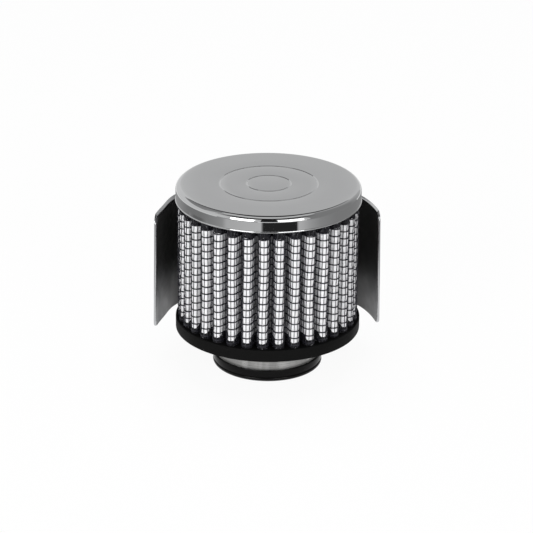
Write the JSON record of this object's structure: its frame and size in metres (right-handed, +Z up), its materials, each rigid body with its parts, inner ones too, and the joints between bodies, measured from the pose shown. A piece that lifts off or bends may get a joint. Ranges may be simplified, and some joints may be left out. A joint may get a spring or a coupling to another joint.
{
  "type": "crankcase breather filter",
  "caption": "Round pleated crankcase breather filter with a chromed cap, a short steel neck in a rubber grommet, and a curved chromed shield behind it.",
  "frame": {"origin": "on the filter's axis, at the grommet's flat foot", "axes": "+Z up along the filter's axis from the foot to the cap, +Y towards the shield, +X to the right seen from the open front"},
  "size_m": [0.0942, 0.0864, 0.079],
  "materials": {
    "cap_chrome": "polished chrome plate on drawn sheet",
    "shield_chrome": "chrome plate outside, dark satin inside",
    "neck_steel": "turned, finely brushed round the tube",
    "grommet_rubber": "smooth moulded black rubber",
    "base_urethane": "matt moulded black urethane",
    "potting_urethane": "glossy black poured urethane",
    "filter_cloth": "white pleated synthetic filter cloth",
    "screen_wire": "fine wire screen, black epoxy coated"
  },
  "bodies": {
    "root": {"grommet": "grommet_rubber", "neck": "neck_steel", "base_ring": "base_urethane", "filter_media": "filter_cloth", "outer_screen": "screen_wire", "inner_screen": "screen_wire", "top_potting": "potting_urethane", "top_cap": "cap_chrome", "shield": "shield_chrome"}
  },
  "joints": []
}
